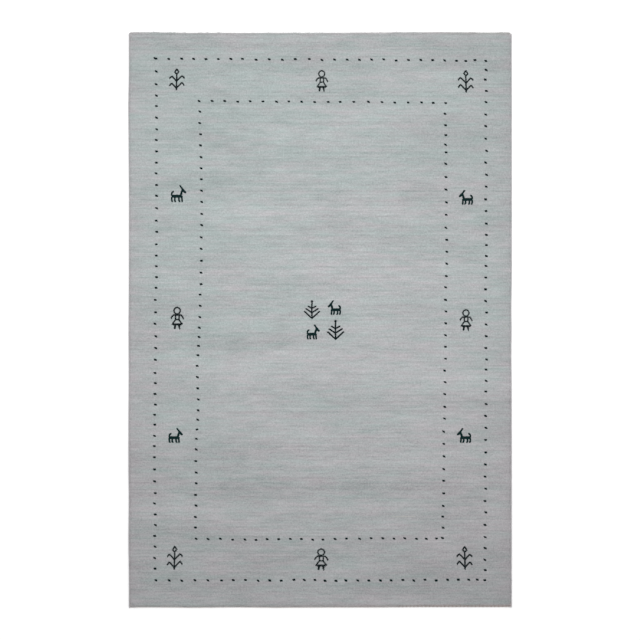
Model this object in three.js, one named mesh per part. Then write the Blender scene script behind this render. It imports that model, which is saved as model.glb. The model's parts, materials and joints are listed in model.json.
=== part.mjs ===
// A gabbeh rug lying flat, in millimetres. X runs across it, Y along its length, and Z up from the floor.
// The origin is at the middle of the underside. It has three pieces: the rug with its cut pile and its two
// woven ends, and the two overcast cords that finish the long sides.
import * as THREE from 'three';
import { mergeVertices } from 'three/addons/utils/BufferGeometryUtils.js';

// Overall sizes
const RUG_WIDTH = 2000;
const RUG_LENGTH = 3000;
const PILE_TOP = 13; // floor to the tips of the pile, the 3 mm ground weave included
const PILE_SWELL = 0.6; // how far the pile's top rises and sinks in broad soft lumps

// The rim, where the outermost tufts lean over
const SIDE_WALL = 6; // height of the pile's upright wall beside a cord
const HEM_DEPTH = 7; // how far the woven hem shows past the pile at each end
const HEM_HEIGHT = 3.5;
const RIM_ROUND = 9; // how far in from its foot the pile reaches its full height
const SIDE_LINES = [0, 1, 3, 6, 9]; // where the rug has grid lines, in from each side
const END_LINES = [0, 2, 7, 8, 11, 16]; // where the rug and its cords have them, in from each end

// The overcast cords of the long sides
const SELVEDGE_WIDTH = 8;
const SELVEDGE_HEIGHT = 7.5;
const SELVEDGE_SOLE = 0.9; // how much of the cord's round underside is pressed flat on the floor
const SELVEDGE_TIP = 5; // length over which each end of a cord rounds off
const SELVEDGE_TIP_LEAST = 0.55; // size of the cord's last section, as a share of the full one
const SEWN_GAP = 0.3; // clearance between a cord and the rug's side

// Grid divisions
const COLUMNS = 26;
const ROWS = 52; // along the rug and along both cords, so that a cord bends where the rug's side does
const CORD_SIDES = 4;
const CORD_LAYERS = 2;

// How far each edge stands outside (+) or inside (-) its straight line, at a share of the way along it.
// The long sides start at the bottom end, and the ends start at the left.
const LEFT_EDGE = [
  { along: 0.0, out: -0.8 },
  { along: 0.06, out: -0.6 },
  { along: 0.12, out: 1.7 },
  { along: 0.18, out: -0.2 },
  { along: 0.25, out: 1.4 },
  { along: 0.32, out: 1.4 },
  { along: 0.41, out: -0.3 },
  { along: 0.48, out: 0.8 },
  { along: 0.56, out: -0.9 },
  { along: 0.72, out: -1.4 },
  { along: 0.8, out: 0.2 },
  { along: 0.87, out: 2.0 },
  { along: 0.93, out: -1.0 },
  { along: 1.0, out: -0.6 },
];
const RIGHT_EDGE = [
  { along: 0.0, out: 0.3 },
  { along: 0.2, out: 0.2 },
  { along: 0.38, out: -0.2 },
  { along: 0.44, out: -2.4 },
  { along: 0.485, out: -0.9 },
  { along: 0.52, out: -2.4 },
  { along: 0.58, out: 0.3 },
  { along: 0.8, out: 0.4 },
  { along: 1.0, out: 0.1 },
];
const BOTTOM_END = [
  { along: 0.0, out: 1.2 },
  { along: 0.07, out: -0.4 },
  { along: 0.16, out: 1.7 },
  { along: 0.28, out: -0.4 },
  { along: 0.38, out: 1.8 },
  { along: 0.5, out: 0.4 },
  { along: 0.64, out: 0.1 },
  { along: 0.76, out: -1.7 },
  { along: 1.0, out: -1.9 },
];
const TOP_END = [
  { along: 0.0, out: 1.5 },
  { along: 0.09, out: 0.8 },
  { along: 0.18, out: -2.0 },
  { along: 0.28, out: -2.1 },
  { along: 0.4, out: -0.7 },
  { along: 0.48, out: -1.5 },
  { along: 0.62, out: 0.3 },
  { along: 0.78, out: 2.3 },
  { along: 0.86, out: 2.2 },
  { along: 0.91, out: 0.0 },
  { along: 1.0, out: 1.3 },
];

// Radius at which each corner of the rug's outline is rounded
const CORNERS = { topLeft: 15, topRight: 19, bottomLeft: 4, bottomRight: 5 };

// Broad lumps of the pile: how many waves run across and along the rug, and each one's phase and share
const LUMPS = [
  { across: 1.5, along: 2.5, phase: 0.4, share: 0.4 },
  { across: 3.2, along: -1.6, phase: 2.1, share: 0.35 },
  { across: -2.3, along: 4.7, phase: 4.0, share: 0.25 },
];

const pile = new THREE.MeshStandardMaterial({ color: 0xafb3b4, roughness: 0.95, metalness: 0 });
const overcast = new THREE.MeshStandardMaterial({ color: 0xa5a2a3, roughness: 0.9, metalness: 0 });

const halfWidth = RUG_WIDTH / 2;
const halfLength = RUG_LENGTH / 2;
const cordRoom = SELVEDGE_WIDTH + SEWN_GAP;

// How far out an edge stands at a share of the way along it, eased from row to row of its table
function edgeOut(table, along) {
  const place = THREE.MathUtils.clamp(along, 0, 1);
  const next = Math.max(1, table.findIndex((row) => row.along >= place));
  const from = table[next - 1];
  const to = table[next];
  const share = THREE.MathUtils.smoothstep(place, from.along, to.along);
  return THREE.MathUtils.lerp(from.out, to.out, share);
}

function leftSide(y) {
  return -halfWidth - edgeOut(LEFT_EDGE, y / RUG_LENGTH + 0.5);
}

function rightSide(y) {
  return halfWidth + edgeOut(RIGHT_EDGE, y / RUG_LENGTH + 0.5);
}

// How far a rounded corner draws the end of the rug in, at a distance from its side
function cornerDraw(fromSide, radius) {
  if (fromSide >= radius) {
    return 0;
  }
  const reach = 1 - fromSide / radius;
  return radius * (1 - Math.sqrt(1 - reach * reach));
}

function bottomEnd(x) {
  const edge = -halfLength - edgeOut(BOTTOM_END, x / RUG_WIDTH + 0.5);
  const drawnLeft = cornerDraw(x + halfWidth, CORNERS.bottomLeft);
  const drawnRight = cornerDraw(halfWidth - x, CORNERS.bottomRight);
  return edge + drawnLeft + drawnRight;
}

function topEnd(x) {
  const edge = halfLength + edgeOut(TOP_END, x / RUG_WIDTH + 0.5);
  const drawnLeft = cornerDraw(x + halfWidth, CORNERS.topLeft);
  const drawnRight = cornerDraw(halfWidth - x, CORNERS.topRight);
  return edge - drawnLeft - drawnRight;
}

// The place of one grid line between two edges: close lines at both rims, and even ones between them
function gridPlace(index, count, low, high, lines) {
  if (index < lines.length) {
    return low + lines[index];
  }
  if (index > count - lines.length) {
    return high - lines[count - index];
  }
  const last = lines.length - 1;
  const share = (index - last) / (count - 2 * last);
  return THREE.MathUtils.lerp(low + lines[last], high - lines[last], share);
}

function lumpsAt(x, y) {
  let height = 0;
  for (const lump of LUMPS) {
    const turns = (lump.across * x) / RUG_WIDTH + (lump.along * y) / RUG_LENGTH;
    height += lump.share * Math.sin(2 * Math.PI * turns + lump.phase);
  }
  return PILE_SWELL * height;
}

// Height of the rim's rounded slope: from foot, at the pile's outer line, up to full
function rimHeight(fromFoot, foot, full) {
  const reach = 1 - THREE.MathUtils.clamp(fromFoot / RIM_ROUND, 0, 1);
  return foot + (full - foot) * Math.sqrt(1 - reach * reach);
}

// Height of the rug's upper face at its distances from the nearest side and the nearest end
function upperFace(fromSide, fromEnd, x, y) {
  const full = PILE_TOP - PILE_SWELL + lumpsAt(x, y);
  const bySide = rimHeight(fromSide, SIDE_WALL, full);
  const byEnd = rimHeight(fromEnd - HEM_DEPTH, HEM_HEIGHT, full);
  return Math.min(bySide, byEnd);
}

// A closed body whose points come from a box's grid: place gives each point from its three grid numbers
function griddedBody(columns, rows, layers, place) {
  const geometry = new THREE.BoxGeometry(1, 1, 1, columns, rows, layers);
  geometry.deleteAttribute('normal');
  geometry.deleteAttribute('uv');
  const points = geometry.getAttribute('position');
  for (let i = 0; i < points.count; i += 1) {
    const column = Math.round((points.getX(i) + 0.5) * columns);
    const row = Math.round((points.getY(i) + 0.5) * rows);
    const layer = Math.round((points.getZ(i) + 0.5) * layers);
    points.setXYZ(i, ...place(column, row, layer));
  }
  const body = mergeVertices(geometry);
  body.computeVertexNormals();
  return body;
}

function rugBody() {
  const placeRugPoint = (column, row, layer) => {
    const evenY = gridPlace(row, ROWS, -halfLength, halfLength, END_LINES);
    const left = leftSide(evenY) + cordRoom;
    const right = rightSide(evenY) - cordRoom;
    const x = gridPlace(column, COLUMNS, left, right, SIDE_LINES);
    const bottom = bottomEnd(x);
    const top = topEnd(x);
    const y = gridPlace(row, ROWS, bottom, top, END_LINES);
    const fromSide = Math.min(x - left, right - x);
    const fromEnd = Math.min(y - bottom, top - y);
    return [x, y, layer === 0 ? 0 : upperFace(fromSide, fromEnd, x, y)];
  };
  return griddedBody(COLUMNS, ROWS, 1, placeRugPoint);
}

// Size of a cord's section at a distance from its nearer end, as a share of the full one
function cordFullness(fromTip) {
  if (fromTip >= SELVEDGE_TIP) {
    return 1;
  }
  const reach = 1 - fromTip / SELVEDGE_TIP;
  return THREE.MathUtils.lerp(SELVEDGE_TIP_LEAST, 1, Math.sqrt(1 - reach * reach));
}

// One overcast cord. side is -1 on the left and 1 on the right, and sideLine gives the rug's outline there.
function selvedge(side, sideLine) {
  const placeCordPoint = (column, row, layer) => {
    const middleX = side * (halfWidth - SELVEDGE_WIDTH / 2);
    const low = bottomEnd(middleX);
    const high = topEnd(middleX);
    const y = gridPlace(row, ROWS, low, high, END_LINES);
    const across = (2 * column) / CORD_SIDES - 1;
    const up = (2 * layer) / CORD_LAYERS - 1;
    const fullness = cordFullness(Math.min(y - low, high - y));
    const roundX = across * Math.sqrt(1 - (up * up) / 2) * fullness;
    const roundZ = up * Math.sqrt(1 - (across * across) / 2) * fullness;
    const x = sideLine(y) - side * (SELVEDGE_WIDTH / 2) + (roundX * SELVEDGE_WIDTH) / 2;
    const z = ((SELVEDGE_HEIGHT + SELVEDGE_SOLE) * (roundZ + fullness)) / 2 - SELVEDGE_SOLE;
    return [x, y, Math.max(0, z)];
  };
  return griddedBody(CORD_SIDES, ROWS, CORD_LAYERS, placeCordPoint);
}

const rug = new THREE.Group();
const pieces = [
  { name: 'rug_body', geometry: rugBody(), material: pile },
  { name: 'selvedge_left', geometry: selvedge(-1, leftSide), material: overcast },
  { name: 'selvedge_right', geometry: selvedge(1, rightSide), material: overcast },
];
for (const piece of pieces) {
  const mesh = new THREE.Mesh(piece.geometry, piece.material);
  mesh.name = piece.name;
  rug.add(mesh);
}

export default rug;
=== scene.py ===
"""The looks of a pale gabbeh rug that lies flat: cut pile in knot rows, dark knotted figures and dots,
woven ends under leaning tufts of pile, and long sides overcast with yarn. All places are in metres."""
import json
import math

import bpy
import numpy as np
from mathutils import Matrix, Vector
from mathutils.bvhtree import BVHTree

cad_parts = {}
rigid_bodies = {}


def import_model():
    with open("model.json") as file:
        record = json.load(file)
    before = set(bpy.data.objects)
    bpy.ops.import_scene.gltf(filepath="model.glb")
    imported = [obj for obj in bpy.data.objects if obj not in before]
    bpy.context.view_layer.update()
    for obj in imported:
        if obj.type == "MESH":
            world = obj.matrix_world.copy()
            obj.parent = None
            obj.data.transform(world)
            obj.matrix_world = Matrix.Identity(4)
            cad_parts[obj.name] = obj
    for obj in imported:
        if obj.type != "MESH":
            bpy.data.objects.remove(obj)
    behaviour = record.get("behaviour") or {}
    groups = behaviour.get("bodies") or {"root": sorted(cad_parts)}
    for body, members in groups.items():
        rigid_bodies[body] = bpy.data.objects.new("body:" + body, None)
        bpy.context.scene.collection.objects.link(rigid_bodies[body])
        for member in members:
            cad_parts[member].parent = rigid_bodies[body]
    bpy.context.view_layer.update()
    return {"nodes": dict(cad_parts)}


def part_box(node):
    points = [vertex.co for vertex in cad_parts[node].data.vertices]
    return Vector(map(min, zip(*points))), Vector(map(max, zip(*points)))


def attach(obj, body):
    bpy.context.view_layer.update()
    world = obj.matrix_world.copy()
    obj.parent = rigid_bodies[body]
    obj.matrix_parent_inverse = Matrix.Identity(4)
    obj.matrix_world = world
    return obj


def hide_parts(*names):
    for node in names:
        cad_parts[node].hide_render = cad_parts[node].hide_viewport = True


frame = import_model()

MM = 0.001

# The rug's own sizes, as its solids have them
RUG_WIDTH = 2.0
RUG_LENGTH = 3.0
PILE_TOP = 13 * MM
PILE_SWELL = 0.6 * MM
SIDE_WALL = 6 * MM
HEM_DEPTH = 7 * MM
RIM_ROUND = 9 * MM
CORD_WIDTH = 8 * MM
CORD_HEIGHT = 7.5 * MM
CORD_SOLE = 0.9 * MM
CORD_TIP = 5 * MM
CORD_TIP_LEAST = 0.55

# Broad lumps of the pile: how many waves run across and along the rug, and each one's phase and share
LUMPS = (
    {"across": 1.5, "along": 2.5, "phase": 0.4, "share": 0.4},
    {"across": 3.2, "along": -1.6, "phase": 2.1, "share": 0.35},
    {"across": -2.3, "along": 4.7, "phase": 4.0, "share": 0.25},
)

# What the pile, the yarns and their materials share
KNOT_ROW = 4.6 * MM
WARP_PITCH = 3.6 * MM
SCALLOP = 20 * MM  # from one stitch over a hem to the next

# One seed for the random numbers of each kind of piece
SEEDS = {
    "relief": 11,
    "tufts": 23,
    "wefts": 31,
    "stitches": 37,
    "overcast": 41,
    "strays": 53,
    "dots": 60,
    "figures": 70,
}

# The photograph's scale, and the long lens straight above the rug that repeats its view
PHOTO_PIXELS = 640
METRES_PER_PIXEL = 0.0052185
CAMERA_PLACE = (-0.0013, 0.0005, 16.0)
CAMERA_SENSOR = 36.0
CAMERA_CLIP_END = 200

# The studio
WORLD_STRENGTH = 0.92
KEY_POWER = 165
KEY_SIZE = 4.0
KEY_PLACE = Vector((0.5, 3.2, 6.0))
KEY_AIM = Vector((0, 0.3, 0))
FLOOR_HALF = 60.0
FLOOR_COLOUR = (0.95, 0.95, 0.95)
FLOOR_PATCH = (0.4, 0.4, 1)
FLOOR_UNEVEN = 0.01


def link(obj):
    bpy.context.scene.collection.objects.link(obj)
    return obj


# Materials


class Paint:
    """A material in the making, with short calls for the few kinds of node that yarn needs."""

    def __init__(self, name, roughness=0.95, specular=0.1, sheen=0.0):
        self.material = bpy.data.materials.new(name)
        self.material.use_nodes = True
        self.nodes = self.material.node_tree.nodes
        self.shader = self.nodes["Principled BSDF"]
        self.shader.inputs["Roughness"].default_value = roughness
        self.shader.inputs["Specular IOR Level"].default_value = specular
        self.shader.inputs["Sheen Weight"].default_value = sheen
        self.shader.inputs["Sheen Roughness"].default_value = 0.5
        self.place = self.nodes.new("ShaderNodeTexCoord").outputs["Object"]
        self.seed = 0

    def feed(self, source, socket):
        """Links an output to a socket, or sets the socket to a plain value."""
        if isinstance(source, bpy.types.NodeSocket):
            self.material.node_tree.links.new(source, socket)
        else:
            socket.default_value = source

    def math(self, operation, *values):
        node = self.nodes.new("ShaderNodeMath")
        node.operation = operation
        for value, socket in zip(values, node.inputs):
            self.feed(value, socket)
        return node.outputs[0]

    def axis(self, index):
        node = self.nodes.new("ShaderNodeSeparateXYZ")
        self.feed(self.place, node.inputs[0])
        return node.outputs[index]

    def celled(self, kind, cell):
        """A texture node of that kind whose cells have that size, moved to a place of its own."""
        self.seed += 1
        mapping = self.nodes.new("ShaderNodeMapping")
        mapping.inputs["Location"].default_value = (7.3 * self.seed, 3.1 * self.seed, 0)
        mapping.inputs["Scale"].default_value = [1 / side for side in cell]
        self.feed(self.place, mapping.inputs["Vector"])
        node = self.nodes.new(kind)
        node.inputs["Scale"].default_value = 1
        self.feed(mapping.outputs[0], node.inputs["Vector"])
        return node

    def noise(self, cell, detail=0.0):
        """Cloudy noise from about -0.5 to 0.5."""
        node = self.celled("ShaderNodeTexNoise", cell)
        node.inputs["Detail"].default_value = detail
        return self.math("SUBTRACT", node.outputs["Fac"], 0.5)

    def yarn_ends(self, cell):
        """Close cells, each from about 0.35 in its middle to -0.35 in the crevices round it."""
        node = self.celled("ShaderNodeTexVoronoi", cell)
        node.inputs["Randomness"].default_value = 0.8
        return self.math("SUBTRACT", 0.38, node.outputs["Distance"])

    def ridges(self, value, pitch):
        """Even ridges of that pitch along a value, from -1 in the furrows to 1 on the crests."""
        turns = self.math("MULTIPLY", value, 2 * math.pi / pitch)
        return self.math("SINE", turns)

    def weighted(self, start, layers):
        """start, plus each layer times its weight."""
        total = start
        for layer, weight in layers:
            total = self.math("MULTIPLY_ADD", layer, weight, total)
        return total

    def patches(self, table):
        """Layers of noise with their weights, each from a row of a table."""
        return [(self.noise(row["cell"], row["detail"]), row["weight"]) for row in table]

    def ramp(self, value, stops):
        """A smooth curve through stops, each a place and its level from 0 to 1."""
        low, high = stops[0][0], stops[-1][0]
        share = self.nodes.new("ShaderNodeMapRange")
        share.inputs["From Min"].default_value = low
        share.inputs["From Max"].default_value = high
        self.feed(value, share.inputs["Value"])
        node = self.nodes.new("ShaderNodeValToRGB")
        node.color_ramp.interpolation = "EASE"
        elements = node.color_ramp.elements
        while len(elements) < len(stops):
            elements.new(0.5)
        for element, (place, level) in zip(elements, stops):
            element.position = (place - low) / (high - low)
            element.color = (level, level, level, 1)
        self.feed(share.outputs[0], node.inputs[0])
        return node.outputs[0]

    def mixed(self, share, first, second):
        """Two colours mixed, where share 0 is all the first and 1 all the second."""
        node = self.nodes.new("ShaderNodeMix")
        node.data_type = "RGBA"
        self.feed(share, node.inputs[0])
        for colour, socket in ((first, node.inputs[6]), (second, node.inputs[7])):
            self.feed(colour if isinstance(colour, bpy.types.NodeSocket) else (*colour, 1), socket)
        return node.outputs[2]

    def scaled(self, colour, factor):
        node = self.nodes.new("ShaderNodeVectorMath")
        node.operation = "SCALE"
        self.feed(colour, node.inputs[0])
        self.feed(factor, node.inputs["Scale"])
        return node.outputs[0]

    def colour(self, source):
        self.feed(source, self.shader.inputs["Base Color"])

    def bump(self, height, depth):
        node = self.nodes.new("ShaderNodeBump")
        node.inputs["Distance"].default_value = depth
        self.feed(height, node.inputs["Height"])
        self.feed(node.outputs[0], self.shader.inputs["Normal"])


# The pale wool, linear: a cooler green-blue and a warmer pinkish lot of the same yarn
COOL_WOOL = (0.352, 0.400, 0.3955)
WARM_WOOL = (0.416, 0.401, 0.4165)

# How bright the wool is along the rug, partly dye and partly painted shade of the light falling off towards
# the bottom end, and how bright it is across the rug, darker towards both sides and most at the right; by
# places in metres
DYE_AND_SHADE_ALONG = (
    (-1.5, 0.755), (-1.29, 0.8), (-1.02, 0.872), (-0.5, 0.933), (-0.2, 0.98), (0.3, 1.0), (0.75, 0.99),
    (1.15, 0.95), (1.5, 0.93),
)
BRIGHTNESS_ACROSS = (
    (-1.0, 0.925), (-0.9, 0.95), (-0.7, 0.98), (-0.2, 1.0), (0.3, 1.0), (0.55, 0.962), (0.9, 0.938),
    (1.0, 0.89),
)

# How warm it is along the rug and across it, where the outermost strips turn warmest
WARMTH_ALONG = (
    (-1.5, 0.68), (-1.29, 0.58), (-0.9, 0.6), (-0.2, 0.47), (0.4, 0.38), (0.9, 0.24), (1.25, 0.22),
    (1.5, 0.42),
)
WARMTH_ACROSS = (
    (-1.0, 0.47), (-0.93, 0.2), (-0.88, 0.12), (-0.7, 0.02), (-0.4, 0.08), (0.0, 0.17), (0.4, 0.23),
    (0.9, 0.2), (1.0, 0.42),
)
WARMTH_START = -0.14

# Patches of warmer and cooler wool, small to large: the size of one across, along and up in metres, how
# finely it is broken up, and how much it counts
WARM_PATCHES = (
    {"cell": (0.07, 0.010, 1), "detail": 0, "weight": 0.55},
    {"cell": (0.14, 0.022, 1), "detail": 0, "weight": 0.95},
    {"cell": (0.35, 0.05, 1), "detail": 1, "weight": 0.95},
    {"cell": (0.7, 0.3, 1), "detail": 1, "weight": 0.85},
)

# Lighter and darker wool in the same way: long streaks along the knot rows, patches, single knots, and fibres
LIGHT_PATCHES = (
    {"cell": (2.5, 0.0085, 1), "detail": 0, "weight": 0.17},
    {"cell": (2.5, 0.03, 1), "detail": 1, "weight": 0.06},
    {"cell": (3.0, 0.12, 1), "detail": 1, "weight": 0.17},
    {"cell": (0.11, 0.009, 1), "detail": 0, "weight": 0.22},
    {"cell": (0.05, 0.02, 1), "detail": 0, "weight": 0.12},
    {"cell": (0.14, 0.045, 1), "detail": 0, "weight": 0.13},
    {"cell": (0.5, 0.13, 1), "detail": 0, "weight": 0.18},
    {"cell": (1.5, 0.5, 1), "detail": 0, "weight": 0.08},
    {"cell": (0.0075, 0.0075, 1), "detail": 0, "weight": 0.34},
    {"cell": (0.014, 0.011, 1), "detail": 0, "weight": 0.16},
    {"cell": (0.0022, 0.0022, 0.004), "detail": 1, "weight": 0.15},
)
PILE_BRIGHTNESS = 1.085
YARN_END = (2.7 * MM, 2.3 * MM, 1)
ROW_DRIFT = 4 * MM  # how far a knot row strays from its straight line

# How bright the rims' tufts are along the rug, less the start level just below: painted light that lifts them
# out of the shade among the tufts, with a painted shadow line just in from the bottom end; and how brown they
# are towards its two ends
RIM_PAINTED_LIGHT_START = 0.5
RIM_PAINTED_LIGHT_ALONG = ((-1.5, 0.8), (-1.4925, 0.77), (-1.485, 0.66), (-1.47, 0.76), (1.5, 0.78))
BROWNED_BOTTOM = ((-1.5, 0.4), (-1.491, 0.4), (-1.485, 0.6), (-1.477, 0.3), (-1.468, 0.0), (1.5, 0.0))
BROWNED_TOP = ((-1.5, 0.0), (1.468, 0.0), (1.485, 0.5), (1.5, 1.0))

# How brown the hem and the tufts of each end are at places across the rug, where they are otherwise pale
BROWN_BOTTOM = ((-1.0, 0.4), (-0.2, 0.4), (0.45, 0.6), (0.62, 0.9), (1.0, 0.9))
BROWN_TOP = ((-1.0, 0.14), (0.5, 0.14), (0.8, 0.3), (1.0, 0.36))

# The other wools, linear
TUFT_BROWN = (0.46, 0.385, 0.36)
GROUND_GREY = (0.45, 0.44, 0.43)
GROUND_BROWN = (0.40, 0.385, 0.365)
HEM_GREY = (0.70, 0.68, 0.665)
HEM_GREY_TOP = (0.46, 0.452, 0.45)
HEM_BROWN = (0.62, 0.565, 0.54)
STITCH_BROWN = (0.27, 0.19, 0.17)
STITCH_LIGHTER = (0.34, 0.26, 0.235)
# The overcast of the two sides is one yarn; the right side's copy is painted lighter, painted light against
# the shade in the seam beside the pile
OVERCAST_LEFT = ((0.41, 0.395, 0.405), (0.48, 0.465, 0.475))
OVERCAST_RIGHT_PAINTED_LIT = ((0.47, 0.452, 0.463), (0.55, 0.532, 0.543))
DARK_YARN = (0.0025, 0.0072, 0.0080)
DARK_YARN_LIGHTER = (0.0055, 0.0115, 0.0125)
TEAL_YARN = (0.0012, 0.0125, 0.0128)
TEAL_YARN_LIGHTER = (0.0028, 0.0175, 0.0180)
PALE_YARN = (0.50, 0.49, 0.46)
PALE_YARN_SHADE = (0.40, 0.40, 0.38)


def wool_colour(paint, warm_shift=0.0):
    """The pile's colour: slow changes of dye with painted shade towards the bottom end, streaks along the
    knot rows, and single lighter knots.
    """
    x, y = paint.axis(0), paint.axis(1)
    slow = [(paint.ramp(y, WARMTH_ALONG), 1.0), (paint.ramp(x, WARMTH_ACROSS), 1.0)]
    warmth = paint.weighted(WARMTH_START + warm_shift, slow + paint.patches(WARM_PATCHES))
    shade = paint.weighted(1.0, paint.patches(LIGHT_PATCHES))
    # Painted shade: the wool darkens towards the bottom end on top of its dye lots, and it darkens towards
    # the sides
    dye_and_shade = paint.math("MULTIPLY", paint.ramp(y, DYE_AND_SHADE_ALONG), paint.ramp(x, BRIGHTNESS_ACROSS))
    return paint.scaled(paint.mixed(warmth, COOL_WOOL, WARM_WOOL), paint.math("MULTIPLY", shade, dye_and_shade))


def pile_material():
    """Cut wool pile: knot rows across the rug, and the fine fuzz of fibre tips."""
    paint = Paint("pile_wool", sheen=0.15)
    wool = wool_colour(paint)
    ends = paint.yarn_ends(YARN_END)
    fibres = paint.noise((0.0007, 0.0007, 0.002), detail=2)
    # Painted shade: the colour darkens in the crevices between the yarn ends and lightens on their middles
    paint.colour(paint.scaled(wool, paint.weighted(PILE_BRIGHTNESS, [(ends, 0.28), (fibres, 0.3)])))
    drift = paint.noise((0.09, 0.02, 1))
    row_place = paint.weighted(paint.axis(1), [(drift, ROW_DRIFT)])
    rows = paint.ridges(row_place, KNOT_ROW)
    tufts = paint.noise((0.006, 0.0045, 0.0045), detail=1)
    paint.bump(paint.weighted(0.0, [(rows, 0.12), (tufts, 1.2), (ends, 1.1), (fibres, 0.7)]), 1.0 * MM)
    return paint.material


def rim_material():
    """The same wool on the tufts that lean over the rims: warmer, painted lighter to lift it out of the shade
    among the tufts, and with a painted shadow line just in from the bottom end.
    """
    paint = Paint("rim_wool", sheen=0.15)
    wool = wool_colour(paint, warm_shift=0.1)
    x, y = paint.axis(0), paint.axis(1)
    # Painted light and shade: the tufts are lit up against the shade among them, and darkened in a line just
    # in from the bottom end
    wool = paint.scaled(wool, paint.math("ADD", paint.ramp(y, RIM_PAINTED_LIGHT_ALONG), RIM_PAINTED_LIGHT_START))
    browned_bottom = paint.math("MULTIPLY", paint.ramp(y, BROWNED_BOTTOM), paint.ramp(x, BROWN_BOTTOM))
    browned_top = paint.math("MULTIPLY", paint.ramp(y, BROWNED_TOP), paint.ramp(x, BROWN_TOP))
    browned = paint.math("ADD", browned_bottom, browned_top)
    strands = paint.noise((0.0012, 0.0012, 0.003), detail=1)
    fibres = paint.noise((0.0007, 0.0007, 0.0016), detail=2)
    frayed = paint.weighted(1.0, [(strands, 0.25), (fibres, 0.45)])
    paint.colour(paint.scaled(paint.mixed(browned, wool, TUFT_BROWN), frayed))
    paint.bump(paint.weighted(0.0, [(strands, 0.8), (fibres, 0.9)]), 0.8 * MM)
    return paint.material


def ground_material():
    """The flat ground weave of the back and of the ends: weft over warp in a fine plain weave."""
    paint = Paint("ground_weave")
    warps = paint.ridges(paint.axis(0), 2 * WARP_PITCH)
    wefts = paint.ridges(paint.axis(1), KNOT_ROW)
    crossings = paint.math("MULTIPLY", warps, wefts)
    wear = paint.noise((0.08, 0.02, 1), detail=2)
    fibres = paint.noise((0.0016, 0.0016, 0.003), detail=1)
    shade = paint.weighted(1.0, [(crossings, 0.07), (wear, 0.15), (fibres, 0.2)])
    paint.colour(paint.scaled(paint.mixed(wear, GROUND_GREY, GROUND_BROWN), shade))
    paint.bump(paint.weighted(0.0, [(crossings, 0.5), (fibres, 0.5)]), 0.8 * MM)
    return paint.material


def hem_material(name, grey, brown_along):
    """Plied weft yarn, pale grey to brown, and browner at each stitch that draws the hem in."""
    paint = Paint(name, sheen=0.1)
    x = paint.axis(0)
    stitches = paint.ridges(paint.math("SUBTRACT", x, SCALLOP / 4), SCALLOP)
    lengths = paint.noise((0.03, 0.03, 1), detail=1)
    share = paint.weighted(paint.ramp(x, brown_along), [(lengths, 1.2)])
    share = paint.math("MULTIPLY", share, paint.weighted(0.85, [(stitches, 0.25)]))
    fibres = paint.noise((0.0011, 0.0011, 0.0016), detail=1)
    paint.colour(paint.scaled(paint.mixed(share, grey, HEM_BROWN), paint.weighted(1.0, [(fibres, 0.3)])))
    paint.bump(fibres, 0.5 * MM)
    return paint.material


def yarn_material(name, colour, other_colour, cell, sheen=0.1):
    """Spun wool yarn in one colour that shifts a little from length to length, with fine fibres."""
    paint = Paint(name, sheen=sheen)
    lengths = paint.noise(cell, detail=1)
    fibres = paint.noise((0.0011, 0.0011, 0.0016), detail=1)
    shade = paint.weighted(1.0, [(fibres, 0.35)])
    share = paint.weighted(0.5, [(lengths, 1.6)])
    paint.colour(paint.scaled(paint.mixed(share, colour, other_colour), shade))
    paint.bump(fibres, 0.5 * MM)
    return paint.material


# The studio


def add_camera():
    data = bpy.data.cameras.new("camera")
    half_view = METRES_PER_PIXEL * PHOTO_PIXELS / 2
    data.sensor_width = CAMERA_SENSOR
    data.lens = CAMERA_SENSOR * CAMERA_PLACE[2] / (2 * half_view)
    data.clip_end = CAMERA_CLIP_END
    camera = link(bpy.data.objects.new("camera", data))
    camera.location = CAMERA_PLACE
    bpy.context.scene.camera = camera


def add_world():
    world = bpy.data.worlds.new("studio")
    world.use_nodes = True
    background = world.node_tree.nodes["Background"]
    background.inputs["Color"].default_value = (1, 1, 1, 1)
    background.inputs["Strength"].default_value = WORLD_STRENGTH
    bpy.context.scene.world = world
    bpy.context.scene.view_settings.view_transform = "Standard"


def add_key_light():
    """A large soft light above the far end, which leaves the near rim in shade."""
    data = bpy.data.lights.new("key", "AREA")
    data.shape = "SQUARE"
    data.size = KEY_SIZE
    data.energy = KEY_POWER
    light = link(bpy.data.objects.new("key", data))
    light.location = KEY_PLACE
    light.rotation_euler = (KEY_AIM - KEY_PLACE).to_track_quat("-Z", "Y").to_euler()
    light.visible_camera = False


def add_floor():
    mesh = bpy.data.meshes.new("floor")
    side = FLOOR_HALF
    corners = [(-side, -side, 0), (side, -side, 0), (side, side, 0), (-side, side, 0)]
    mesh.from_pydata(corners, [], [(0, 1, 2, 3)])
    paint = Paint("floor", specular=0.0)
    patches = paint.noise(FLOOR_PATCH, detail=1)
    paint.colour(paint.scaled(FLOOR_COLOUR, paint.weighted(1.0, [(patches, FLOOR_UNEVEN)])))
    mesh.materials.append(paint.material)
    link(bpy.data.objects.new("floor", mesh))


# Meshes


def make_piece(name, points, faces, materials):
    """A smooth mesh piece that rides with the rug, with the materials given to it."""
    mesh = bpy.data.meshes.new(name)
    mesh.from_pydata(np.asarray(points, float).tolist(), [], faces)
    for material in materials:
        mesh.materials.append(material)
    mesh.shade_smooth()
    piece = link(bpy.data.objects.new(name, mesh))
    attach(piece, "root")
    return piece


def ring_faces(first, rings, sides):
    """The faces of a closed tube whose rings of points follow each other, ends included."""
    faces = []
    for ring in range(rings - 1):
        low = first + ring * sides
        for side in range(sides):
            after = (side + 1) % sides
            faces.append((low + side, low + after, low + sides + after, low + sides + side))
    last = first + (rings - 1) * sides
    faces.append(tuple(range(first + sides - 1, first - 1, -1)))
    faces.append(tuple(range(last, last + sides)))
    return faces


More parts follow.
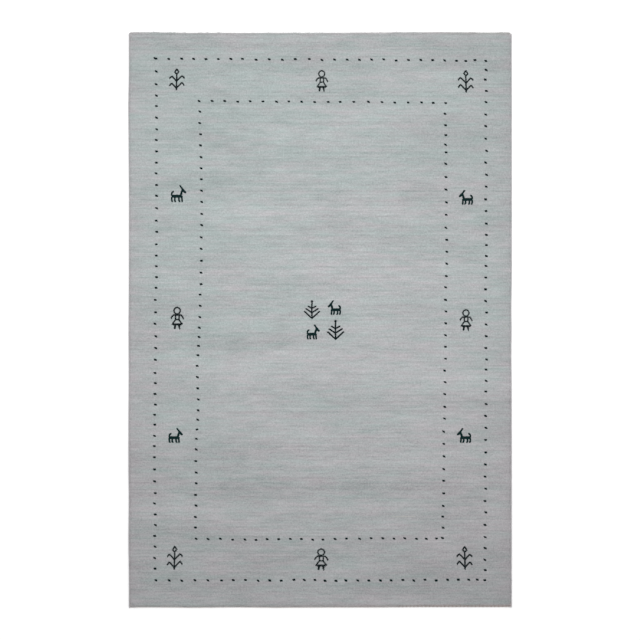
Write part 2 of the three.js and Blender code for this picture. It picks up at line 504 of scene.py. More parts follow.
def tubes(paths, radii, sides, flatness=1.0):
    """Points and faces of closed tubes. paths go by tube, ring and axis, and radii by tube, ring and side."""
    along = np.gradient(paths, axis=1)
    along /= np.linalg.norm(along, axis=2, keepdims=True)
    across = np.cross(along, (0.0, 0.0, 1.0))
    across /= np.linalg.norm(across, axis=2, keepdims=True)
    lift = np.cross(across, along)
    turn = np.linspace(0, 2 * math.pi, sides, endpoint=False)
    out = radii[..., None] * np.cos(turn)[None, None, :, None] * across[:, :, None, :]
    up = flatness * radii[..., None] * np.sin(turn)[None, None, :, None] * lift[:, :, None, :]
    points = paths[:, :, None, :] + out + up
    count, rings = paths.shape[:2]
    faces = []
    for tube in range(count):
        faces += ring_faces(tube * rings * sides, rings, sides)
    return points.reshape(-1, 3), faces


# The rug's outline, read from its solids

# How far short of the corners and at how many places each edge is read, how high, and from how far out
SIDE_SHORT = 20 * MM
SIDE_READINGS = 300
END_SHORT = 11.5 * MM
END_READINGS = 400
LINE_HEIGHT = 1 * MM
READ_FROM = 2


def solid_tree(node):
    mesh = frame["nodes"][node].data
    points = [vertex.co for vertex in mesh.vertices]
    return BVHTree.FromPolygons(points, [tuple(face.vertices) for face in mesh.polygons])


def side_line(tree, side, height):
    """The solid's outermost x at places along the rug. side is -1 on the left and 1 on the right."""
    reach = 0.5 * RUG_LENGTH - SIDE_SHORT
    ys = np.linspace(-reach, reach, SIDE_READINGS)
    xs = [tree.ray_cast(Vector((side * READ_FROM, y, height)), Vector((-side, 0, 0)))[0].x for y in ys]
    return ys, np.array(xs)


def end_line(tree, end):
    """The solid's outermost y at places across the rug. end is -1 at the bottom and 1 at the top."""
    reach = 0.5 * RUG_WIDTH - END_SHORT
    xs = np.linspace(-reach, reach, END_READINGS)
    start = end * READ_FROM
    ys = [tree.ray_cast(Vector((x, start, LINE_HEIGHT)), Vector((0, -end, 0)))[0].y for x in xs]
    return xs, np.array(ys)


RUG_TREE = solid_tree("rug_body")
LEFT_LINE = side_line(RUG_TREE, -1, LINE_HEIGHT)
RIGHT_LINE = side_line(RUG_TREE, 1, LINE_HEIGHT)
BOTTOM_LINE = end_line(RUG_TREE, -1)
TOP_LINE = end_line(RUG_TREE, 1)


def left_side(y):
    return np.interp(y, *LEFT_LINE)


def right_side(y):
    return np.interp(y, *RIGHT_LINE)


def bottom_end(x):
    return np.interp(x, *BOTTOM_LINE)


def top_end(x):
    return np.interp(x, *TOP_LINE)


# The pile

# The spacing of its grid lines across the rug, and the closer lines in from each end and each side
COLUMN = 19 * MM
END_LINES = (0, 2 * MM, 4.5 * MM, 7 * MM, 7.8 * MM, 9.2 * MM, 11.5 * MM, 14 * MM, 17 * MM)
SIDE_LINES = (0, 0.8 * MM, 2.2 * MM, 4.2 * MM, 6.4 * MM, 9 * MM, 13 * MM)
HEM_BED = 1.6 * MM  # height of the bare ground weave under the weft cords

# How far the knot rows and single knots stand proud or low, over what length, and where that fades out
ROW_RELIEF = 0.22 * MM
KNOT_RELIEF = 0.12 * MM
RELIEF_STEP = 0.12
RELIEF_REACH = 1.1
RELIEF_FADE = 12 * MM


def lumps_at(x, y):
    height = 0
    for lump in LUMPS:
        turns = lump["across"] * x / RUG_WIDTH + lump["along"] * y / RUG_LENGTH
        height = height + lump["share"] * np.sin(2 * math.pi * turns + lump["phase"])
    return PILE_SWELL * height


def rim_height(from_foot, foot, full):
    """Height of the rim's rounded slope, from foot at the pile's outer line up to full."""
    reach = 1 - np.clip(from_foot / RIM_ROUND, 0, 1)
    return foot + (full - foot) * np.sqrt(1 - reach * reach)


def upper_face(from_side, from_end, x, y):
    """Height of the pile without its knot rows, at distances from the nearest side and end."""
    full = PILE_TOP - PILE_SWELL + lumps_at(x, y)
    by_side = rim_height(from_side, SIDE_WALL, full)
    by_end = rim_height(from_end - HEM_DEPTH, HEM_BED, full)
    return np.minimum(by_side, by_end)


def grid_places(low, high, lines, between):
    """Grid lines between two edges: close ones at both rims, and even ones between them."""
    near = [low + line for line in lines]
    far = [high - line for line in reversed(lines)]
    shares = np.linspace(0, 1, between + 2)[1:-1]
    middle = [near[-1] + share * (far[0] - near[-1]) for share in shares]
    return np.array(near + middle + far)


def relief(shape, xs):
    """How far each knot row stands proud or low, row by row, and each knot a little too."""
    rng = np.random.default_rng(SEEDS["relief"])
    rows = shape[0]
    nodes = np.arange(-RELIEF_REACH, RELIEF_REACH, RELIEF_STEP)
    swells = rng.normal(0, ROW_RELIEF, (rows, len(nodes)))
    by_row = np.array([np.interp(xs[row], nodes, swells[row]) for row in range(rows)])
    return by_row + rng.normal(0, KNOT_RELIEF, shape)


def pile_grid():
    """Points of the upper face, rows from the bottom end up and columns from the left."""
    rows_between = round((RUG_LENGTH - 2 * END_LINES[-1]) / KNOT_ROW)
    columns_between = round((RUG_WIDTH - 2 * SIDE_LINES[-1]) / COLUMN)
    even_y = grid_places(-RUG_LENGTH / 2, RUG_LENGTH / 2, END_LINES, rows_between)
    left, right = left_side(even_y), right_side(even_y)
    x = grid_places(left, right, SIDE_LINES, columns_between).T
    bottom, top = bottom_end(x), top_end(x)
    y = np.empty_like(x)
    places = grid_places(bottom, top, END_LINES, rows_between)
    for row in range(len(y)):
        y[row] = places[row, row]
    from_side = np.minimum(x - left[:, None], right[:, None] - x)
    from_end = np.minimum(y - bottom, top - y)
    z = upper_face(from_side, from_end, x, y)
    inside = np.minimum(from_side, from_end - HEM_DEPTH)
    z += relief(z.shape, x) * np.clip(inside / RELIEF_FADE, 0, 1)
    return np.stack([x, y, z], axis=2)


def grid_faces(rows, columns):
    faces = []
    for row in range(rows - 1):
        for column in range(columns - 1):
            low = row * columns + column
            faces.append((low, low + 1, low + columns + 1, low + columns))
    return faces


def rim_of_grid(rows, columns):
    """Indices of the grid's outer points, round it once from its first corner."""
    bottom = list(range(columns))
    right = [row * columns + columns - 1 for row in range(1, rows)]
    top = [(rows - 1) * columns + column for column in range(columns - 2, -1, -1)]
    left = [row * columns for row in range(rows - 2, 0, -1)]
    return bottom + right + top + left


def underside_faces(first, rows, columns):
    """The flat underside in strips between the two long sides, from the floor points round the rim."""
    right = [first + columns - 1 + row for row in range(rows)]
    left = [first] + [first + 2 * (columns - 1) + 2 * (rows - 1) - row for row in range(1, rows)]
    bottom = [first + column for column in range(columns)]
    top = [right[-1] + step for step in range(columns)]
    faces = [tuple(reversed(bottom + [right[1], left[1]]))]
    for row in range(1, rows - 2):
        faces.append((left[row], left[row + 1], right[row + 1], right[row]))
    faces.append(tuple(reversed([left[-2], right[-2]] + top)))
    return faces


def add_pile():
    """The rug itself, with its ground weave bare on the two hems, on the walls and underneath."""
    grid = pile_grid()
    rows, columns = grid.shape[:2]
    upper = grid.reshape(-1, 3)
    rim = rim_of_grid(rows, columns)
    floor_points = upper[rim].copy()
    floor_points[:, 2] = 0
    first = len(upper)
    faces = grid_faces(rows, columns)
    upper_count = len(faces)
    for step, point in enumerate(rim):
        after = (step + 1) % len(rim)
        faces.append((point, first + step, first + after, rim[after]))
    wall_count = len(faces)
    faces += underside_faces(first, rows, columns)
    points = np.vstack([upper, floor_points])
    pile = make_piece("rug_pile", points, faces, [pile_material(), ground_material()])
    hem_rows = sum(line < HEM_DEPTH for line in END_LINES)
    for index, face in enumerate(pile.data.polygons):
        row = index // (columns - 1)
        on_hem = index < upper_count and (row < hem_rows or row >= rows - 1 - hem_rows)
        if on_hem or index >= upper_count:
            face.material_index = 1
        if index >= wall_count:
            face.use_smooth = False
    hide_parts("rug_body")
    return pile


# Tufts of pile that lean out over the rims, and hide the seam to the overcast cords

# The shape of a tuft: its rings' share of its radius, how uneven they are, and how deep it starts in the pile
TUFT_SIDES = 5
TUFT_TAPER = (0.9, 1.0, 0.5)
TUFT_UNEVEN = 0.2
TUFT_SIZES = (0.8, 1.15)
TUFT_SUNK = 3 * MM
TUFT_LOWEST = 2.1 * MM  # no tuft's middle hangs closer to the floor
TUFT_DROOPS = (0.35, 1.0)  # at the middle of a tuft and at its tip

# How far it leans out, and how tufts differ in place, lean and length, singly and by clumps
TUFT_LEAN = 0.4
TUFT_CLUMP = 20 * MM
CLUMP_LEAN = 0.25
LEAN_SPREAD = 0.15
RISE_SPREAD = 0.12
PLACE_SPREAD = 0.5 * MM
INSET_SPREAD = (0.75, 1.25)
LENGTH_SPREAD = 0.12
LENGTH_LIMITS = (0.4, 2.2)

# The tufts of the two sides and of the two ends: how close they stand, how thick they are, how far they
# droop, and how far from the middle the last one stands
SIDE_TUFTS = {"pitch": 3.0 * MM, "radius": 1.8 * MM, "droop": 0.18, "reach": 0.5 * RUG_LENGTH - 9 * MM}
END_TUFTS = {"pitch": 2.1 * MM, "radius": 1.5 * MM, "droop": 0.45, "reach": 0.5 * RUG_WIDTH - 12 * MM}

# Each row of tufts by how far in from the pile's foot it stands, and how far it stands out of the pile
SIDE_ROWS = ((0.6 * MM, 5.5 * MM), (2.6 * MM, 4.0 * MM), (6.0 * MM, 1.3 * MM))
BOTTOM_ROWS = ((0.5 * MM, 3.2 * MM), (1.8 * MM, 3.6 * MM), (3.8 * MM, 2.4 * MM), (6.8 * MM, 1.0 * MM))
TOP_ROWS = ((0.5 * MM, 7.6 * MM), (1.8 * MM, 8.2 * MM), (3.8 * MM, 4.2 * MM), (6.8 * MM, 1.2 * MM))

# How unevenly the tufts stand out, at places across the rug or along it
EVEN = ((-1.5, 1.5), (0.15, 0.15))
RAGGED_BOTTOM = ((-1.0, -0.3, 1.0), (0.5, 0.25, 0.2))
RAGGED_TOP = ((-1.0, -0.7, -0.4, 1.0), (0.32, 0.32, 0.16, 0.16))

RIMS = (
    {"name": "rim_left", "axis": 0, "way": -1, "line": left_side, "foot": SIDE_WALL, "rows": SIDE_ROWS,
     "ragged": EVEN, "tufts": SIDE_TUFTS},
    {"name": "rim_right", "axis": 0, "way": 1, "line": right_side, "foot": SIDE_WALL, "rows": SIDE_ROWS,
     "ragged": EVEN, "tufts": SIDE_TUFTS},
    {"name": "rim_bottom", "axis": 1, "way": -1, "line": bottom_end, "foot": HEM_BED, "rows": BOTTOM_ROWS,
     "ragged": RAGGED_BOTTOM, "tufts": END_TUFTS},
    {"name": "rim_top", "axis": 1, "way": 1, "line": top_end, "foot": HEM_BED, "rows": TOP_ROWS,
     "ragged": RAGGED_TOP, "tufts": END_TUFTS},
)


def clumped(along, rng):
    """Smooth random numbers along a rim, alike for tufts of one clump."""
    nodes = np.arange(along.min() - TUFT_CLUMP, along.max() + 2 * TUFT_CLUMP, TUFT_CLUMP)
    return np.interp(along, nodes, rng.normal(0, 1, len(nodes)))


def tuft_row(rim, inset, proud, rng):
    """Paths of one row of tufts, which lean out square to the rounded rim of the pile."""
    tufts = rim["tufts"]
    along = np.arange(-tufts["reach"], tufts["reach"], tufts["pitch"])
    count = len(along)
    along = along + rng.normal(0, PLACE_SPREAD, count)
    inset = inset * rng.uniform(*INSET_SPREAD, count)
    reach = 1 - np.clip(inset / RIM_ROUND, 0, 1)
    rise = np.sqrt(1 - reach * reach)
    height = rim["foot"] + (PILE_TOP - PILE_SWELL - rim["foot"]) * rise
    hem = HEM_DEPTH if rim["axis"] == 1 else 0
    base = np.zeros((count, 3))
    base[:, rim["axis"]] = rim["line"](along) - rim["way"] * (inset + hem)
    base[:, 1 - rim["axis"]] = along
    base[:, 2] = height + lumps_at(base[:, 0], base[:, 1]) * rise
    lean = np.zeros((count, 3))
    lean[:, rim["axis"]] = rim["way"] * (reach + TUFT_LEAN)
    lean[:, 1 - rim["axis"]] = CLUMP_LEAN * clumped(along, rng) + rng.normal(0, LEAN_SPREAD, count)
    lean[:, 2] = rise + rng.normal(0, RISE_SPREAD, count)
    lean /= np.linalg.norm(lean, axis=1, keepdims=True)
    by_clump = clumped(along, rng) * np.interp(along, *rim["ragged"])
    uneven = 1 + by_clump + rng.normal(0, LENGTH_SPREAD, count)
    length = proud * np.clip(uneven, *LENGTH_LIMITS)
    steps = np.stack([np.full(count, -TUFT_SUNK), 0.5 * length, length], axis=1)
    paths = base[:, None] + lean[:, None] * steps[..., None]
    droop = tufts["droop"] * length
    paths[:, 1:, 2] -= droop[:, None] * TUFT_DROOPS
    paths[..., 2] = np.maximum(paths[..., 2], TUFT_LOWEST)
    return paths


def add_rims():
    rng = np.random.default_rng(SEEDS["tufts"])
    material = rim_material()
    pieces = []
    for rim in RIMS:
        paths = np.vstack([tuft_row(rim, inset, proud, rng) for inset, proud in rim["rows"]])
        shape = (len(paths), len(TUFT_TAPER), TUFT_SIDES)
        size = rim["tufts"]["radius"] * rng.uniform(*TUFT_SIZES, (len(paths), 1, 1))
        uneven = rng.uniform(1 - TUFT_UNEVEN, 1 + TUFT_UNEVEN, shape)
        radii = size * np.array(TUFT_TAPER)[None, :, None] * uneven
        points, faces = tubes(paths, radii, TUFT_SIDES)
        pieces.append(make_piece(rim["name"], points, faces, [material]))
    return pieces


# The woven ends: two plied weft cords side by side over the bare ground weave

WEFT_INSETS = (1.6 * MM, 4.9 * MM)
WEFT_REACH = 0.991
WEFT_RADIUS = 1.7 * MM
WEFT_LIFT = 1.05  # height of a cord's middle over the floor, in radii
WEFT_SIDES = 8
WEFT_STEP = 1.9 * MM
WEFT_PLY = 7.5 * MM
WEFT_FURROW = 0.2
WEFT_UNEVEN = 0.04

# How far a stitch draws a weft cord in, and how much of that there is at places across the rug
WEFT_PULL = 0.4 * MM
PULL_ACROSS = ((-1, 0, 1), (0.3, 0.9, 2.0))


def weft_cord(end, line, inset, rng):
    """One weft cord along an end, drawn in a little where each overcast stitch pulls it."""
    xs = np.arange(-WEFT_REACH, WEFT_REACH, WEFT_STEP)
    pull = WEFT_PULL * (1 - np.cos(2 * math.pi * xs / SCALLOP))
    pull = pull * np.interp(xs, *PULL_ACROSS)
    ys = line(xs) - end * (inset + pull)
    path = np.stack([xs, ys, np.full(len(xs), WEFT_LIFT * WEFT_RADIUS)], axis=1)[None]
    turn = np.linspace(0, 2 * math.pi, WEFT_SIDES, endpoint=False)
    ply = np.abs(np.sin(math.pi * xs[:, None] / WEFT_PLY + turn / 2))
    plied = 1 - WEFT_FURROW + WEFT_FURROW * ply
    radii = WEFT_RADIUS * plied * rng.uniform(1 - WEFT_UNEVEN, 1 + WEFT_UNEVEN, ply.shape)
    return tubes(path, radii[None], WEFT_SIDES)


def add_weft_cords(name, end, line, grey, brown_along):
    """The outer and the inner weft cord of one end as one piece."""
    rng = np.random.default_rng(SEEDS["wefts"] + end)
    outer_points, outer_faces = weft_cord(end, line, WEFT_INSETS[0], rng)
    inner_points, inner_faces = weft_cord(end, line, WEFT_INSETS[1], rng)
    shift = len(outer_points)
    moved = [tuple(index + shift for index in face) for face in inner_faces]
    points = np.vstack([outer_points, inner_points])
    material = hem_material(name + "_wool", grey, brown_along)
    return make_piece(name, points, outer_faces + moved, [material])


# Stitches of brown yarn that bind the right half of the bottom hem. Each follows one path over the weft cords
# and the tufts, in mm in from the end and up from the floor.
STITCH_PATH = ((0.8, 2.0), (2.4, 4.4), (4.4, 7.4), (7.0, 11.0), (10.0, 13.3), (12.5, 12.2))
STITCH_RADIUS = 1.05 * MM
STITCH_SIDES = 8
STITCH_RINGS = 16
STITCH_PLIES = 3.5
STITCH_FURROW = 0.28
STITCH_SPAN = (0.41, 0.98)  # from the first stitch to the last, in metres to the right of the middle
STITCH_SLANT = 1.2 * MM
STITCH_BOW = 0.9 * MM
STITCH_DEPTHS = (0.85, 1.1)
STITCH_TIP_POWER = 6
STITCH_TIP_LEAST = 0.2


def add_stitches():
    rng = np.random.default_rng(SEEDS["stitches"])
    first, last = (round(place / SCALLOP) for place in STITCH_SPAN)
    xs = (np.arange(first, last) + 0.5) * SCALLOP
    share = np.linspace(0, 1, STITCH_RINGS)
    corners = np.linspace(0, 1, len(STITCH_PATH))
    inset, height = (np.interp(share, corners, places) * MM for places in zip(*STITCH_PATH))
    one_each = (len(xs), 1)
    paths = np.zeros((len(xs), STITCH_RINGS, 3))
    slant = rng.normal(0, STITCH_SLANT, one_each) * (2 * share - 1)
    bow = rng.normal(0, STITCH_BOW, one_each) * np.sin(math.pi * share)
    paths[..., 0] = xs[:, None] + slant + bow
    paths[..., 1] = bottom_end(xs)[:, None] + inset * rng.uniform(*STITCH_DEPTHS, one_each)
    paths[..., 2] = height
    turn = np.linspace(0, 2 * math.pi, STITCH_SIDES, endpoint=False)
    ply = np.abs(np.sin(math.pi * STITCH_PLIES * share[:, None] + turn / 2))
    tip = np.sqrt(np.clip(1 - (2 * share - 1) ** STITCH_TIP_POWER, STITCH_TIP_LEAST, 1))
    radii = STITCH_RADIUS * (1 - STITCH_FURROW + STITCH_FURROW * ply) * tip[:, None]
    radii = np.repeat(radii[None], len(xs), axis=0)
    points, faces = tubes(paths, radii, STITCH_SIDES)
    material = yarn_material("stitch_wool", STITCH_BROWN, STITCH_LIGHTER, (0.02, 0.02, 1))
    return make_piece("hem_stitches", points, faces, [material])


# The overcast sides: yarn wound turn by turn round the edge cord

TURN_PITCH = 4 * MM
TURN_RINGS = 4
TURN_FURROW = 0.24
TURN_ROUND = 0.6  # below 1 the turns are flatter on their backs, with narrower furrows
TURN_WIDTHS = (0.8, 1.2)
TURN_FULLNESS = (0.98, 1.08)
CORD_SIDES = 10


def cord_turns(length, rng):
    """Places along the cord where each turn of yarn starts, and how full each turn is."""
    count = round(length / TURN_PITCH)
    starts = np.cumsum(rng.uniform(*TURN_WIDTHS, count))
    starts = np.concatenate([[0], starts]) * length / starts[-1]
    return starts, rng.uniform(*TURN_FULLNESS, count + 1)


def add_overcast(name, side, node, colours, rng):
    """One edge cord under its turns of yarn. side is -1 on the left and 1 on the right."""
    lowest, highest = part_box(node)
    tree = solid_tree(node)
    ys_line, xs_line = side_line(tree, side, CORD_HEIGHT / 2)
    low, high = lowest.y, highest.y
    starts, fullness = cord_turns(high - low, rng)
    ring_turns = np.arange((len(starts) - 1) * TURN_RINGS + 1) / TURN_RINGS
    ys = low + np.interp(ring_turns, np.arange(len(starts)), starts)
    turn = np.linspace(0, 2 * math.pi, CORD_SIDES, endpoint=False)
    wound = ring_turns[:, None] + side * turn / (2 * math.pi)
    full = np.interp(wound, np.arange(len(fullness)), fullness)
    furrow = TURN_FURROW * (1 - np.abs(np.sin(math.pi * wound)) ** TURN_ROUND)
    from_tip = np.minimum(ys - low, high - ys)
    reach = 1 - np.clip(from_tip / CORD_TIP, 0, 1)
    tip = CORD_TIP_LEAST + (1 - CORD_TIP_LEAST) * np.sqrt(1 - reach * reach)
    radii = CORD_WIDTH / 2 * (full - furrow) * tip[:, None]
    flatness = (CORD_HEIGHT + CORD_SOLE) / CORD_WIDTH
    height = flatness * CORD_WIDTH / 2 * tip - CORD_SOLE
    path = np.stack([np.interp(ys, ys_line, xs_line) - side * CORD_WIDTH / 2, ys, height], axis=1)
    points, faces = tubes(path[None], radii[None], CORD_SIDES, flatness)
    points[:, 2] = np.maximum(points[:, 2], 0)
    material = yarn_material(name + "_wool", *colours, (0.02, 0.025, 1))
    cord = make_piece(name, points, faces, [material])
    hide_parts(node)
    return cord


# Dark knots, in dots and in the strokes of figures

# How far apart the knots of a stroke are along it, and how far to either side of it, in mm. Each ring of a
# knot is a share of its radius and a height over the pile in mm.
KNOT_STEP = 2.5 * MM
KNOT_STAGGER = 1.9
KNOT_RADIUS = 2.9 * MM
KNOT_SIDES = 8
KNOT_RINGS = ((0.8, -2.0), (1.0, 0.25), (0.7, 0.65))
KNOT_TOP = 0.8
KNOT_SCATTER = 0.25 * MM
KNOT_UNEVEN = 0.08
KNOT_FRAY = 0.06
RAY_HEIGHT = 1


def height_on(tree, x, y):
    return tree.ray_cast(Vector((x, y, RAY_HEIGHT)), Vector((0, 0, -1)))[0].z


def knot_mesh(places, sizes, tree, rng):
    """A low rounded tuft at each place on the pile, each a little off its place, size and round."""
    points, faces = [], []
    turn = np.linspace(0, 2 * math.pi, KNOT_SIDES, endpoint=False)
    for (x, y), size in zip(places, sizes):
        x, y = x + rng.normal(0, KNOT_SCATTER), y + rng.normal(0, KNOT_SCATTER)
        ground = height_on(tree, x, y)
        uneven = size * rng.uniform(1 - KNOT_UNEVEN, 1 + KNOT_UNEVEN, KNOT_SIDES)
        spin = rng.uniform(0, 2 * math.pi)
        first = len(points)
        for share, height in KNOT_RINGS:
            ring_x = x + share * uneven * np.cos(turn + spin)
            ring_y = y + share * uneven * np.sin(turn + spin)
            ring_z = ground + height * MM + rng.uniform(-KNOT_FRAY, KNOT_FRAY, KNOT_SIDES) * MM
            points += list(zip(ring_x, ring_y, ring_z))
        points.append((x, y, ground + KNOT_TOP * MM))
        last = first + (len(KNOT_RINGS) - 1) * KNOT_SIDES
        tube = ring_faces(first, len(KNOT_RINGS), KNOT_SIDES)
        faces += tube[:-1]
        top = len(points) - 1
        for side in range(KNOT_SIDES):
            faces.append((last + side, last + (side + 1) % KNOT_SIDES, top))
    return points, faces


def add_knots(name, places, sizes, tree, material, seed):
    points, faces = knot_mesh(places, sizes, tree, np.random.default_rng(seed))
    return make_piece(name, points, faces, [material])


# The dotted lines. The dots are evenly spaced between the measured ones given here, each as its number in the
# line and its x and y in mm.
DOT_LINES = {
    "dots_outer": (
        ((0, -854, 1364),),
        ((0, -863, 1367), (1, -788, 1360), (7, -405, 1361), (13, 10, 1358), (18, 333, 1357),
         (24, 713, 1353), (26, 805, 1352), (27, 864, 1352)),
        ((0, -854, -1357), (3, -653, -1359), (5, -515, -1357), (11, -138, -1357), (16, 136, -1357),
         (23, 545, -1357), (25, 663, -1354), (27, 776, -1355), (29, 860, -1356)),
        ((1, -857, 1296), (2, -855, 1229), (12, -854, 648), (16, -854, 393), (20, -858, 168),
         (27, -859, -274), (34, -865, -657), (38, -863, -901), (45, -863, -1295)),
        ((1, 864, 1304), (2, 864, 1255), (4, 864, 1136), (15, 866, 441), (18, 864, 281), (26, 864, -205),
         (29, 864, -373), (41, 860, -1133), (44, 860, -1304)),
    ),
    "dots_inner": (
        ((0, -630, 1144), (11, 103, 1137), (13, 252, 1137), (17, 528, 1133), (19, 652, 1132)),
        ((0, -651, -1140), (4, -393, -1143), (12, 76, -1143), (15, 266, -1137), (19, 503, -1139),
         (21, 606, -1138), (22, 639, -1138)),
        ((1, -629, 1086), (9, -618, 616), (15, -621, 247), (20, -629, -41), (23, -639, -182),
         (28, -639, -472), (31, -646, -620), (39, -650, -1083)),
        ((1, 652, 1075), (3, 653, 961), (5, 655, 873), (6, 654, 815), (12, 659, 416), (25, 649, -386),
         (34, 642, -970), (36, 640, -1080)),
    ),
}

# The knots of one dot in two close rows, in mm from its middle, and how steeply a dot rises to the right
DOT_KNOTS = ((-4.9, 2.0), (-0.9, 2.2), (3.1, 2.0), (-3.1, -2.0), (0.9, -2.2), (4.9, -2.0))
DOT_SLANTS = (-0.35, 0.15)

# The radius of a dot's knots, the larger one of the outermost bottom row, and the y between which the one
# turns into the other
DOT_RADIUS = {"dots_outer": 3.45 * MM, "dots_inner": 3.3 * MM}
DOT_RADIUS_AT_END = 3.7 * MM
DOT_END_RANGE = (-1.36, -1.2)
DOT_SIZES = (0.9, 1.12)
DOT_DRIFT = 1.6 * MM


def line_dots(anchors):
    """Every dot of a line, from its first anchor's number to its last one's, in metres."""
    numbers, xs, ys = np.array(anchors, float).T
    every = np.arange(numbers[0], numbers[-1] + 1)
    return np.stack([np.interp(every, numbers, xs), np.interp(every, numbers, ys)], axis=1) * MM


def add_dots(name, lines, tree, material, seed):
    rng = np.random.default_rng(seed)
    dots = np.vstack([line_dots(anchors) for anchors in lines])
    dots += rng.normal(0, DOT_DRIFT, dots.shape)
    places, sizes = [], []
    for dot in dots:
        slant = rng.uniform(*DOT_SLANTS)
        size = np.interp(dot[1], DOT_END_RANGE, (DOT_RADIUS_AT_END, DOT_RADIUS[name]))
        size = size * rng.uniform(*DOT_SIZES)
        for along, up in DOT_KNOTS:
            places.append((dot[0] + along * MM, dot[1] + (up + slant * along) * MM))
            sizes.append(size)
    return add_knots(name, places, sizes, tree, material, seed + 1)


# Figures: strokes as chains of points in mm, x to the right and y up, each two knots wide
PLANT = (
    ((0, 55), (10, 41), (0, 29), (-11, 39), (0, 55)),
    ((0, 29), (-1, 0), (-2, -33), (-2, -52)),
    ((-1, -8), (-13, 6), (-26, 19), (-38, 8)),
    ((-1, -6), (13, 8), (28, 21), (39, 9)),
    ((-2, -44), (-16, -28), (-28, -17), (-38, -31)),
    ((-2, -42), (13, -27), (27, -13), (38, -28)),
)
CHILD = (
    ((0, 52), (11, 48), (17, 37), (13, 26), (6, 20), (-6, 20), (-13, 26), (-17, 37), (-11, 48), (0, 52)),
    ((-17, 15), (18, 15)),
    ((-8, 12), (-8, -6)),
    ((10, 12), (10, -6)),
    ((-8, -7), (10, -7)),
    ((-17, 15), (-24, 10), (-31, -1)),
    ((18, 16), (24, 11), (33, -4)),
    ((-9, -9), (-23, -27)),
    ((10, -9), (24, -27)),
    ((-26, -29), (27, -29)),
    ((-19, -32), (20, -32)),
    ((-8, -33), (-10, -44), (-12, -52)),
    ((-11, -34), (-14, -51)),
    ((8, -33), (9, -42), (14, -53)),
    ((11, -34), (13, -44)),
)
GOAT = (
    ((10, 46), (14, 39), (20, 31)),
    ((19, 32), (29, 21), (39, 10)),
    ((20, 24), (28, 15), (38, 9)),
    ((21, 27), (19, 12), (16, -2)),
    ((17, 14), (13, 0)),
    ((-33, -5), (15, -5)),
    ((-33, -12), (16, -12)),
    ((-24, 15), (-31, 13), (-34, 4), (-34, -4)),
    ((-34, -14), (-34, -28), (-31, -37)),
    ((-18, -16), (-18, -30), (-15, -37)),
    ((3, -16), (4, -30), (7, -37)),
    ((19, -6), (19, -22), (21, -37)),
)
TREE = (
    ((-3, 39), (-3, 44), (3, 44), (3, 39)),
    ((0, 45), (-1, -5), (0, -47)),
    ((-20, 17), (-1, 5), (22, 17)),
    ((-32, 4), (-1, -17), (33, 4)),
    ((-40, -10), (0, -47), (40, -10)),
)

# Where each figure stands by its balance point, in mm, and how it is drawn: which way it looks, its width and
# height as shares of the chart's, and the size of its knots
FIGURES = {
    "plants": (
        {"chart": PLANT, "x": -748, "y": 1252, "way": 1, "wide": 1.0, "tall": 1.02, "knot": 0.96},
        {"chart": PLANT, "x": 759, "y": 1242, "way": -1, "wide": 1.02, "tall": 1.06, "knot": 0.96},
        {"chart": PLANT, "x": -759, "y": -1243, "way": 1, "wide": 1.03, "tall": 1.13, "knot": 0.98},
        {"chart": PLANT, "x": 753, "y": -1243, "way": -1, "wide": 1.03, "tall": 1.1, "knot": 1.02},
    ),
    "children": (
        {"chart": CHILD, "x": 8, "y": 1242, "way": 1, "wide": 0.97, "tall": 1.03, "knot": 0.86},
        {"chart": CHILD, "x": 5, "y": -1253, "way": 1, "wide": 1.1, "tall": 1.05, "knot": 0.94},
        {"chart": CHILD, "x": -746, "y": 5, "way": 1, "wide": 1.03, "tall": 1.08, "knot": 0.96},
        {"chart": CHILD, "x": 760, "y": -5, "way": 1, "wide": 1.0, "tall": 1.03, "knot": 0.9},
    ),
    "goats": (
        {"chart": GOAT, "x": -739, "y": 652, "way": 1, "wide": 1.0, "tall": 1.02, "knot": 1.1},
        {"chart": GOAT, "x": -754, "y": -608, "way": 1, "wide": 0.93, "tall": 0.87, "knot": 1.19},
        {"chart": GOAT, "x": 760, "y": 634, "way": -1, "wide": 0.91, "tall": 0.87, "knot": 1.19},
        {"chart": GOAT, "x": 750, "y": -608, "way": -1, "wide": 0.92, "tall": 0.87, "knot": 1.22},
        {"chart": GOAT, "x": 74, "y": 59, "way": -1, "wide": 0.85, "tall": 0.86, "knot": 1.14},
        {"chart": GOAT, "x": -37, "y": -68, "way": 1, "wide": 0.84, "tall": 0.89, "knot": 1.14},
    ),
    "trees": (
        {"chart": TREE, "x": -43, "y": 49, "way": 1, "wide": 0.99, "tall": 1.0, "knot": 0.95},
        {"chart": TREE, "x": 80, "y": -57, "way": 1, "wide": 1.06, "tall": 1.06, "knot": 1.05},
    ),
}


def stroke_places(stroke):
    """Places along one stroke, both its ends included, in two staggered files."""
    corners = np.array(stroke, float)
    lengths = np.concatenate([[0], np.cumsum(np.linalg.norm(np.diff(corners, axis=0), axis=1))])
    count = max(2, round(lengths[-1] * MM / KNOT_STEP) + 1)
    along = np.linspace(0, lengths[-1], count)
    middle = np.stack([np.interp(along, lengths, corners[:, axis]) for axis in (0, 1)], axis=1)
    ahead = np.gradient(middle, axis=0)
    ahead /= np.linalg.norm(ahead, axis=1, keepdims=True)
    beside = np.stack([-ahead[:, 1], ahead[:, 0]], axis=1)
    file = np.where(np.arange(count) % 2, KNOT_STAGGER, -KNOT_STAGGER)
    return middle + beside * file[:, None]


def figure_places(figure):
    places = np.vstack([stroke_places(stroke) for stroke in figure["chart"]])
    places = places * (figure["way"] * figure["wide"], figure["tall"])
    places += np.array((figure["x"], figure["y"])) - places.mean(axis=0)
    return places * MM


def add_figures(name, figures, tree, material, seed):
    places = [figure_places(figure) for figure in figures]
    sizes = [np.full(len(spots), KNOT_RADIUS * figure["knot"]) for spots, figure in zip(places, figures)]
    return add_knots(name, np.vstack(places), np.concatenate(sizes), tree, material, seed)


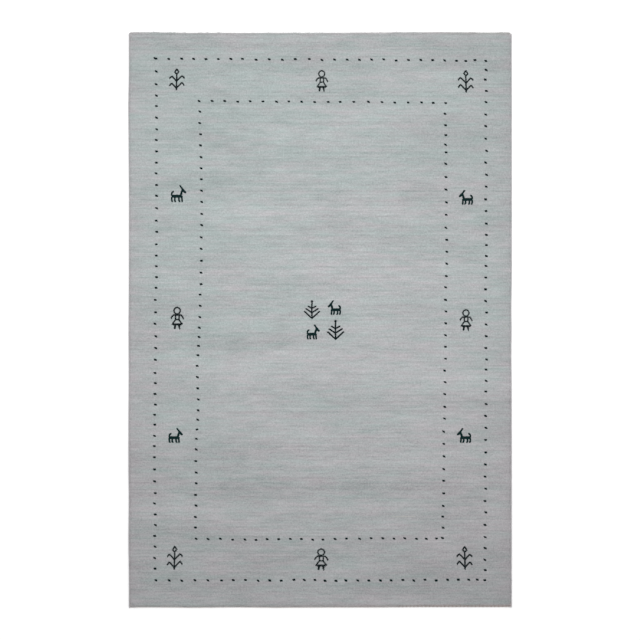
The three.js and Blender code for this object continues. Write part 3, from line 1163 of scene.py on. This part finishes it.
# A few paler lengths of yarn that lie in the pile, in mm
STRAYS = (
    {"x": 434, "y": -1025, "length": 131, "radius": 1.5},
    {"x": -946, "y": -1252, "length": 8, "radius": 2.0},
    {"x": 964, "y": -31, "length": 22, "radius": 1.4},
)
STRAY_RINGS = 24
STRAY_SIDES = 6
STRAY_WAVER = 0.12 * MM
STRAY_TIP_POWER = 4
STRAY_TIP_LEAST = 0.05


def add_strays(tree):
    rng = np.random.default_rng(SEEDS["strays"])
    paths, radii = [], []
    for stray in STRAYS:
        half = stray["length"] * MM / 2
        xs = stray["x"] * MM + np.linspace(-half, half, STRAY_RINGS)
        ys = stray["y"] * MM + np.cumsum(rng.normal(0, STRAY_WAVER, STRAY_RINGS))
        zs = [height_on(tree, x, y) for x, y in zip(xs, ys)]
        paths.append(np.stack([xs, ys, zs], axis=1))
        from_middle = np.linspace(-1, 1, STRAY_RINGS)
        thin = np.sqrt(np.clip(1 - from_middle**STRAY_TIP_POWER, STRAY_TIP_LEAST, 1))
        radii.append(np.repeat((stray["radius"] * MM * thin)[:, None], STRAY_SIDES, axis=1))
    points, faces = tubes(np.array(paths), np.array(radii), STRAY_SIDES)
    material = yarn_material("pale_yarn", PALE_YARN, PALE_YARN_SHADE, (0.012, 0.012, 1))
    return make_piece("stray_yarns", points, faces, [material])


def piece_tree(piece):
    points = [vertex.co for vertex in piece.data.vertices]
    return BVHTree.FromPolygons(points, [tuple(face.vertices) for face in piece.data.polygons])


def add_rug():
    pile = add_pile()
    tree = piece_tree(pile)
    dark = yarn_material("dark_yarn", DARK_YARN, DARK_YARN_LIGHTER, (0.02, 0.02, 1), sheen=0.02)
    teal = yarn_material("teal_yarn", TEAL_YARN, TEAL_YARN_LIGHTER, (0.02, 0.02, 1), sheen=0.02)
    on_pile = add_rims() + [add_strays(tree)]
    on_pile.append(add_weft_cords("weft_bottom", -1, bottom_end, HEM_GREY, BROWN_BOTTOM))
    on_pile.append(add_weft_cords("weft_top", 1, top_end, HEM_GREY_TOP, BROWN_TOP))
    on_pile.append(add_stitches())
    for seed, (name, lines) in enumerate(DOT_LINES.items()):
        on_pile.append(add_dots(name, lines, tree, dark, SEEDS["dots"] + 2 * seed))
    for seed, (name, figures) in enumerate(FIGURES.items()):
        yarn = teal if name == "goats" else dark
        on_pile.append(add_figures(name, figures, tree, yarn, SEEDS["figures"] + seed))
    rng = np.random.default_rng(SEEDS["overcast"])
    on_pile.append(add_overcast("overcast_left", -1, "selvedge_left", OVERCAST_LEFT, rng))
    on_pile.append(add_overcast("overcast_right", 1, "selvedge_right", OVERCAST_RIGHT_PAINTED_LIT, rng))


add_camera()
add_world()
add_key_light()
add_floor()
add_rug()
